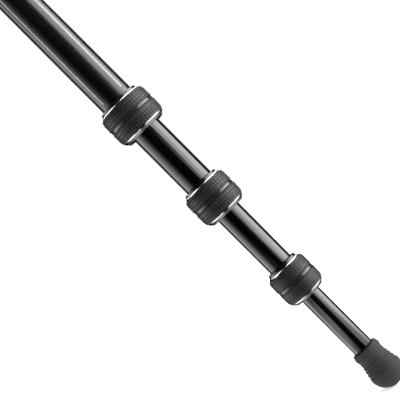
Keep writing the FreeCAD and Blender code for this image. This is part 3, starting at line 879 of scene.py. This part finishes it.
def build_head_plate(settings):
    """Plate with a coin edge, shallow rings on its face and a relief round the stud."""
    bore, rim, foot, face = extents("top_plate", COLUMN_FRAME)
    under = face - settings.plate_thickness
    bevel = settings.plate_bevel
    coin_edge = rim - COIN_EDGE_INSET
    tooth_top, tooth_bottom = face - bevel, under + TOOTH_START * bevel
    outline = [
        (bore, foot),
        (settings.spigot_radius, foot),
        (settings.spigot_radius, under),
        (rim - bevel, under),
        (rim, under + bevel),
        (rim, tooth_bottom),
        (coin_edge, tooth_bottom + TOOTH_RUN_OUT),
        (coin_edge, tooth_top - TOOTH_RUN_OUT),
        (rim, tooth_top),
        (rim, face - bevel / 2),
        (rim - bevel / 2, face),
    ]
    for number in range(FACE_RINGS):
        radius = FACE_RING_RADIUS - number * FACE_RING_STEP
        outline += [
            (radius + FACE_RING_WIDTH, face),
            (radius + FACE_RING_WIDTH / 2, face - FACE_RING_DEPTH),
            (radius - FACE_RING_WIDTH / 2, face - FACE_RING_DEPTH),
            (radius - FACE_RING_WIDTH, face),
        ]
    outline += [
        (settings.relief_radius, face),
        (settings.relief_radius, face - settings.relief_depth),
        (bore, face - settings.relief_depth),
    ]
    mesh = turned_mesh(outline, 2 * settings.rim_teeth)
    for vert in mesh.verts:
        tooth = math.atan2(vert.co.y, vert.co.x) / FULL_TURN * 2 * settings.rim_teeth
        on_coin_edge = abs(radius_of(vert.co) - coin_edge) < COIN_EDGE_INSET / 5
        if on_coin_edge and round(tooth) % 2:
            scale_radius(vert, 1 - settings.tooth_depth / rim)
    keep_profile(mesh)
    smooth_all(mesh)
    add_piece("top_plate_turned", mesh, COLUMN_FRAME, [black_turned()],
              "column", ["top_plate"], sharp=math.radians(20))


def build_head_stud(settings):
    """Stud with a real helical thread and a chamfered tip, on its plain root."""
    _, major, foot, tip = extents("head_stud", COLUMN_FRAME)
    floor = extents("top_plate", COLUMN_FRAME).end - settings.relief_depth
    pitch, core = settings.thread_pitch, settings.core_radius
    start = floor - 2 * pitch
    turns = math.ceil((tip - start) / pitch) + 1
    # radius and share of the pitch along one turn of the thread
    tooth = [(core, 0), (core, 0.12), (major, 0.44), (major, 0.56), (core, 0.88), (core, 1)]
    mesh = bmesh.new()
    line = draw_outline(
        mesh, [(radius, start + share * pitch) for radius, share in tooth], closed=False)
    spin_about_z(mesh, line, FULL_TURN * turns, STUD_FACETS * turns, rise=pitch / STUD_FACETS)
    bmesh.ops.remove_doubles(mesh, verts=mesh.verts, dist=1e-6)
    for height, side in ((floor, -1), (tip, 1)):
        everything = mesh.verts[:] + mesh.edges[:] + mesh.faces[:]
        cut = bmesh.ops.bisect_plane(
            mesh, geom=everything, plane_co=(0, 0, height), plane_no=(0, 0, side),
            clear_outer=True, dist=1e-8)
        rim = [item for item in cut["geom_cut"] if isinstance(item, bmesh.types.BMEdge)]
        bmesh.ops.contextual_create(mesh, geom=rim)
    for vert in mesh.verts:
        radius = radius_of(vert.co)
        widest = major - max(0, vert.co.z - (tip - settings.tip_chamfer))
        if radius > widest:
            scale_radius(vert, widest / radius)
    bmesh.ops.create_cone(
        mesh, cap_ends=True, segments=STUD_FACETS, radius1=core, radius2=core,
        depth=floor - foot, matrix=Matrix.Translation((0, 0, (floor + foot) / 2)))
    bmesh.ops.dissolve_degenerate(mesh, edges=mesh.edges, dist=2e-6)
    bmesh.ops.recalc_face_normals(mesh, faces=mesh.faces)
    smooth_all(mesh)
    add_piece("head_stud_threaded", mesh, COLUMN_FRAME, [plated_steel()],
              "column", ["head_stud"], sharp=math.radians(30))


# Hinges

# The round recess in a hinge bolt's head, and the hexagon that is left open in it
RECESS_RADIUS = 2.3 * MM
RECESS_DEPTH = 1.6 * MM
HEXAGON_RADIUS = 2.0 * MM
# How far the filling stays under the head's face
FILLING_DROP = 0.1 * MM
# Hardware nearer than this to a hinge's axis is that hinge's own
HINGE_REACH = 12 * MM


def build_hex_recess(leg):
    """Fills the round recess of a hinge bolt's head down to a hexagon."""
    hinge = JOINTS[f"{leg}_hinge"]
    place = local_frame(hinge["pos_m"], hinge["axis"], (0, 0, 1))
    back = place.inverted()
    points = [back @ vertex.co for vertex in NODES["hinge_hardware"].data.vertices]
    face = max(point.z for point in points if radius_of(point) < HINGE_REACH)
    mesh = bmesh.new()
    rings = []
    for segments, radius in ((24, RECESS_RADIUS), (6, HEXAGON_RADIUS)):
        made = bmesh.ops.create_circle(mesh, cap_ends=False, segments=segments, radius=radius)
        rings.append({edge for vert in made["verts"] for edge in vert.link_edges})
    # the hexagon's sides are split so that both rings have 24 edges
    split = bmesh.ops.subdivide_edges(mesh, edges=list(rings[1]), cuts=3)
    inner = {item for item in split["geom"] if isinstance(item, bmesh.types.BMEdge)}
    filled = bmesh.ops.bridge_loops(mesh, edges=list(rings[0] | inner))
    raised = bmesh.ops.extrude_face_region(mesh, geom=filled["faces"])
    for item in raised["geom"]:
        if isinstance(item, bmesh.types.BMVert):
            item.co.z += RECESS_DEPTH - FILLING_DROP
    mesh.transform(Matrix.Translation((0, 0, face - RECESS_DEPTH)))
    bmesh.ops.recalc_face_normals(mesh, faces=mesh.faces)
    add_piece(f"{leg}_bolt_hexagon", mesh, place, [plated_steel()], "frame")


# Operators, one for each group of like pieces

class TRIPOD_OT_grips(bpy.types.Operator):
    """Build the knurled rubber grips of all the twist locks"""

    bl_idname = "tripod.grips"
    bl_label = "Grips"

    def execute(self, context):
        for lock, place, _ in lock_list():
            build_grip(context.scene.tripod_grips, lock, place)
        return {"FINISHED"}


class TRIPOD_OT_rings(bpy.types.Operator):
    """Build the turned rings of all the twist locks"""

    bl_idname = "tripod.rings"
    bl_label = "Lock rings"

    def execute(self, context):
        for lock, place, narrow in lock_list():
            build_ring(context.scene.tripod_rings, lock, place, narrow)
        return {"FINISHED"}


class TRIPOD_OT_tubes(bpy.types.Operator):
    """Finish the tubes and their fittings, and lay the pinstripes"""

    bl_idname = "tripod.tubes"
    bl_label = "Tubes"

    def execute(self, context):
        settings = context.scene.tripod_tubes
        satin, gloss, nylon = satin_anodised(settings), glossy_anodised(settings), black_nylon()
        build_tube("column_tube", "column", COLUMN_FRAME, satin)
        paint_node("column_collet", nylon)
        for leg in LEGS:
            build_tube(f"{leg}_upper_tube", leg, PLACES[leg], satin)
            dress_node(f"{leg}_upper_fittings", "moulded", leg, nylon, FITTING_EDGE)
            for section in (2, 3, 4):
                body = f"{leg}_section_{section}"
                build_tube(f"{leg}_tube_{section}", body, PLACES[leg], gloss)
                if section < 4:
                    dress_node(
                        f"{leg}_fittings_{section}", "moulded", body, nylon, FITTING_EDGE)
            paint_node(f"{leg}_fittings_4", nylon)
            for side in (-1, 1):
                build_pinstripe(settings, leg, side)
        return {"FINISHED"}


class TRIPOD_OT_hinges(bpy.types.Operator):
    """Finish the spider, the hinge castings, their tabs and their bolts"""

    bl_idname = "tripod.hinges"
    bl_label = "Hinges"

    def execute(self, context):
        coat, steel, blasted = powder_coat(), plated_steel(), blasted_aluminium()
        dress_node("spider", "coated", "frame", coat, CASTING_EDGE)
        dress_node("hinge_hardware", "plated", "frame", steel, SMALL_EDGE)
        for leg in LEGS:
            dress_node(f"{leg}_hinge_casting", "coated", leg, coat, CASTING_EDGE)
            dress_node(
                f"{leg}_angle_tab", "blasted", f"{leg}_tab", blasted, TAB_EDGE)
            build_hex_recess(leg)
        return {"FINISHED"}


class TRIPOD_OT_feet(bpy.types.Operator):
    """Build the rubber feet"""

    bl_idname = "tripod.feet"
    bl_label = "Feet"

    def execute(self, context):
        for leg in LEGS:
            build_foot(context.scene.tripod_feet, leg)
        return {"FINISHED"}


class TRIPOD_OT_head(bpy.types.Operator):
    """Build the head plate and its stud, and finish the weight hook"""

    bl_idname = "tripod.head"
    bl_label = "Head plate and hook"

    def execute(self, context):
        settings = context.scene.tripod_head
        build_head_plate(settings)
        build_head_stud(settings)
        dress_node("weight_hook", "plated", "column", plated_steel(), HOOK_EDGE)
        return {"FINISHED"}


# Stage

# The glow that gloss mirrors follows the slant: how far a point of the floor lies behind
# leg 1's foot for each metre that it lies to the side
GLOW_START, GLOW_END = -1.3, 0.9
GLOW_STOPS = (
    (0.0, 0.0), (0.27, 0.05), (0.41, 0.3), (0.55, 0.56), (0.71, 1.0), (0.8, 0.66), (0.96, 0.0))
# Nearer than this to the side, the slant no longer grows
LEAST_ASIDE = 0.02
# How strongly the white world lights the tripod, and where the floor starts to fade to white
WORLD_STRENGTH = 0.02
FADE_START = 0.5
# The two panels beside the leg: distance, height, and how far up the leg their middles lie
SIDE_PANEL_DISTANCE = 0.9
SIDE_PANEL_HEIGHT = 1.3
SIDE_PANEL_RAISE = 0.15
# How far the floor lies under the feet
FLOOR_DROP = 0.2 * MM


def emission(tree, strength):
    """White light of a strength that changes over the surface."""
    node = tree.nodes.new("ShaderNodeEmission")
    feed(tree, strength, node.inputs["Strength"])
    return node.outputs["Emission"]


def split_by_ray(tree, ray_kind, others, chosen, output):
    """Shows one shader to a kind of ray, such as Is Camera Ray, and another to all others."""
    ray = tree.nodes.new("ShaderNodeLightPath")
    mix = tree.nodes.new("ShaderNodeMixShader")
    feed(tree, ray.outputs[ray_kind], mix.inputs["Fac"])
    feed(tree, others, mix.inputs[1])
    feed(tree, chosen, mix.inputs[2])
    feed(tree, mix.outputs["Shader"], tree.nodes[output].inputs["Surface"])


def far_white(settings, tree, place):
    """The floor's own light, which grows with the distance until the floor is plain white."""
    away = tree.nodes.new("ShaderNodeVectorMath")
    away.operation = "LENGTH"
    feed(tree, place, away.inputs[0])
    return map_range(
        tree, away.outputs["Value"], settings.near_white, 1.0, FADE_START, settings.fade_radius)


def glow_beside(tree, slant, leftwards, aside):
    """Weaker glow at and beside the foot, which the rings and the foot mirror, not the tubes."""
    front_limit = soft_step(tree, slant, -2.2, -1.2)
    back_limit = soft_step(tree, slant, 1.1, 0.7)
    left_limit = soft_step(tree, leftwards, 0.1, 0.06)
    off_foot = soft_step(tree, aside, LEAST_ASIDE, 0.055)
    level = arithmetic(tree, "MULTIPLY", front_limit, back_limit)
    for factor in (left_limit, off_foot, 0.5):
        level = arithmetic(tree, "MULTIPLY", level, factor)
    return level


def mirrored_glow(settings, tree, place):
    """Glow on the floor's left side, where leg 1 mirrors it as one even line of light."""
    parts = tree.nodes.new("ShaderNodeSeparateXYZ")
    feed(tree, place, parts.inputs["Vector"])
    leg = PLACES["leg1"]
    foot = (leg @ Vector((0, 0, extents("leg1_foot", leg).end))).x
    leftwards = arithmetic(tree, "SUBTRACT", foot, parts.outputs["X"])
    aside = arithmetic(tree, "MAXIMUM", arithmetic(tree, "ABSOLUTE", leftwards), LEAST_ASIDE)
    slant = arithmetic(tree, "DIVIDE", parts.outputs["Y"], aside)
    ramp = tree.nodes.new("ShaderNodeValToRGB")
    ramp.color_ramp.interpolation = "EASE"
    while len(ramp.color_ramp.elements) < len(GLOW_STOPS):
        ramp.color_ramp.elements.new(0.5)
    for element, (position, level) in zip(ramp.color_ramp.elements, GLOW_STOPS):
        element.position = position
        element.color = (level, level, level, 1)
    feed(tree, map_range(tree, slant, 0, 1, GLOW_START, GLOW_END), ramp.inputs["Fac"])
    beside = glow_beside(tree, slant, leftwards, aside)
    level = arithmetic(tree, "MAXIMUM", ramp.outputs["Color"], beside)
    return arithmetic(tree, "MULTIPLY", level, settings.glow)


def floor_material(settings):
    """A pale floor with soft shadows, white far off, and with a glow that only gloss sees."""
    material, diffuse = new_material(
        "pale_floor", Base_Color=(0.86, 0.86, 0.87, 1), Roughness=0.9, Specular_IOR_Level=0.0)
    tree = material.node_tree
    place = tree.nodes.new("ShaderNodeTexCoord").outputs["Object"]
    lit = tree.nodes.new("ShaderNodeAddShader")
    feed(tree, diffuse.outputs["BSDF"], lit.inputs[0])
    feed(tree, emission(tree, far_white(settings, tree, place)), lit.inputs[1])
    mirrored = emission(tree, mirrored_glow(settings, tree, place))
    split_by_ray(tree, "Is Glossy Ray", lit.outputs["Shader"], mirrored, "Material Output")
    return material


def build_floor(settings):
    """A round floor just under the feet."""
    mesh = bmesh.new()
    bmesh.ops.create_circle(
        mesh, cap_ends=True, segments=FLOOR_FACETS, radius=settings.floor_radius)
    data = bpy.data.meshes.new("floor")
    mesh.to_mesh(data)
    mesh.free()
    data.transform(Matrix.Translation((0, 0, -FLOOR_DROP)))
    data.materials.append(floor_material(settings))
    floor = bpy.data.objects.new("floor", data)
    bpy.context.scene.collection.objects.link(floor)


def add_panel(name, centre, target, long_side, width, height, strength):
    """A soft rectangular light that faces target, its height along long_side."""
    light = bpy.data.lights.new(name, "AREA")
    light.shape = "RECTANGLE"
    light.size = width
    light.size_y = height
    # an area light's power for a given brightness of its face
    light.energy = strength * width * height * math.pi
    panel = bpy.data.objects.new(name, light)
    z_axis = (Vector(centre) - Vector(target)).normalized()
    x_axis = Vector(long_side).cross(z_axis).normalized()
    panel.matrix_world = placed_axes(centre, x_axis, z_axis.cross(x_axis), z_axis)
    panel.visible_camera = False
    bpy.context.scene.collection.objects.link(panel)


def build_world():
    """White behind everything, but dim to what it lights and to what mirrors it."""
    world = bpy.data.worlds.new("studio")
    world.use_nodes = True
    tree = world.node_tree
    dim, seen = tree.nodes["Background"], tree.nodes.new("ShaderNodeBackground")
    for background, strength in ((dim, WORLD_STRENGTH), (seen, 1.0)):
        background.inputs["Color"].default_value = (1, 1, 1, 1)
        background.inputs["Strength"].default_value = strength
    split_by_ray(
        tree, "Is Camera Ray", dim.outputs["Background"], seen.outputs["Background"],
        "World Output")
    bpy.context.scene.world = world


def picture_frame(settings):
    """The point in the picture's middle, and the leg's own directions there."""
    place = PLACES["leg1"]
    down = place.to_3x3() @ Vector((0, 0, 1))
    inwards = place.to_3x3() @ Vector((1, 0, 0))
    middle = place @ Vector((settings.aside, 0, settings.along))
    return middle, down, inwards


def add_camera(settings):
    """Looks at the leg square on, rolled so that the leg crosses the picture aslant."""
    middle, down, _ = picture_frame(settings)
    lens = bpy.data.cameras.new("camera")
    lens.sensor_width = 36
    lens.lens = lens.sensor_width * settings.distance / settings.picture_width
    camera = bpy.data.objects.new("camera", lens)
    lean = math.atan2(-down.z, down.x)
    roll = settings.slope - lean
    camera.matrix_world = (
        Matrix.Translation(middle + Vector((0, -settings.distance, 0)))
        @ Matrix.Rotation(math.pi / 2, 4, "X") @ Matrix.Rotation(roll, 4, "Z"))
    bpy.context.scene.collection.objects.link(camera)
    bpy.context.scene.camera = camera


class TRIPOD_OT_stage(bpy.types.Operator):
    """Build the floor, the lights and the camera"""

    bl_idname = "tripod.stage"
    bl_label = "Stage"

    def execute(self, context):
        settings = context.scene.tripod_stage
        build_floor(settings)
        build_world()
        middle, down, inwards = picture_frame(settings)
        outwards = -inwards
        towards = Vector((0, -1, 0))
        for name, degrees, width, strength in (
                ("near_side_panel", 58, 0.43, 2.6), ("far_side_panel", 91, 0.66, 4.1)):
            turn = math.radians(degrees)
            side = towards * math.cos(turn) + outwards * math.sin(turn)
            target = middle - down * SIDE_PANEL_RAISE
            add_panel(
                name, centre=target + side * SIDE_PANEL_DISTANCE, target=target,
                long_side=down, width=width, height=SIDE_PANEL_HEIGHT, strength=strength)
        # two panels overhead, so that the bezels keep a dark gap between two bright arcs
        add_panel(
            "top_panel", centre=(0.315, 0.7, 1.95), target=(0.2, 0, 0.2),
            long_side=(0, 1, 0), width=1.77, height=1.9, strength=2.35)
        add_panel(
            "left_panel", centre=(-1.345, 0.6, 1.61), target=(0.2, 0, 0.2),
            long_side=(0, 1, 0), width=1.7, height=1.4, strength=2.35)
        add_panel(
            "back_panel", centre=(-0.26, 1.9, 1.2), target=(0.2, 0, 0.2),
            long_side=(1, 0, 0), width=0.9, height=2.6, strength=1.6)
        add_panel(
            "front_panel", centre=(-0.4, -1.3, 1.5), target=(0, 0, 0.4),
            long_side=(0, 0, 1), width=2.2, height=1.5, strength=0.12)
        add_camera(settings)
        context.scene.view_settings.view_transform = "Standard"
        return {"FINISHED"}


class TRIPOD_PT_panel(bpy.types.Panel):
    """Sidebar panel that lists the build steps and their settings"""

    bl_idname = "TRIPOD_PT_panel"
    bl_label = "Travel Tripod"
    bl_space_type = "VIEW_3D"
    bl_region_type = "UI"
    bl_category = "Tripod"

    def draw(self, context):
        layout = self.layout
        for step in STEPS:
            layout.operator(step.bl_idname)
        for settings in SETTINGS:
            group = getattr(context.scene, settings)
            box = layout.box()
            for name in type(group).__annotations__:
                box.prop(group, name)


SETTINGS = {
    "tripod_grips": GripSettings,
    "tripod_rings": RingSettings,
    "tripod_tubes": TubeSettings,
    "tripod_feet": FootSettings,
    "tripod_head": HeadSettings,
    "tripod_stage": StageSettings,
}
STEPS = (
    TRIPOD_OT_grips,
    TRIPOD_OT_rings,
    TRIPOD_OT_tubes,
    TRIPOD_OT_hinges,
    TRIPOD_OT_feet,
    TRIPOD_OT_head,
    TRIPOD_OT_stage,
)


def register():
    for cls in (*SETTINGS.values(), *STEPS, TRIPOD_PT_panel):
        bpy.utils.register_class(cls)
    for name, cls in SETTINGS.items():
        setattr(bpy.types.Scene, name, PointerProperty(type=cls))


def unregister():
    for name in SETTINGS:
        delattr(bpy.types.Scene, name)
    for cls in reversed((*SETTINGS.values(), *STEPS, TRIPOD_PT_panel)):
        bpy.utils.unregister_class(cls)


def main():
    register()
    bpy.ops.tripod.grips()
    bpy.ops.tripod.rings()
    bpy.ops.tripod.tubes()
    bpy.ops.tripod.hinges()
    bpy.ops.tripod.feet()
    bpy.ops.tripod.head()
    bpy.ops.tripod.stage()


if __name__ == "__main__":
    main()
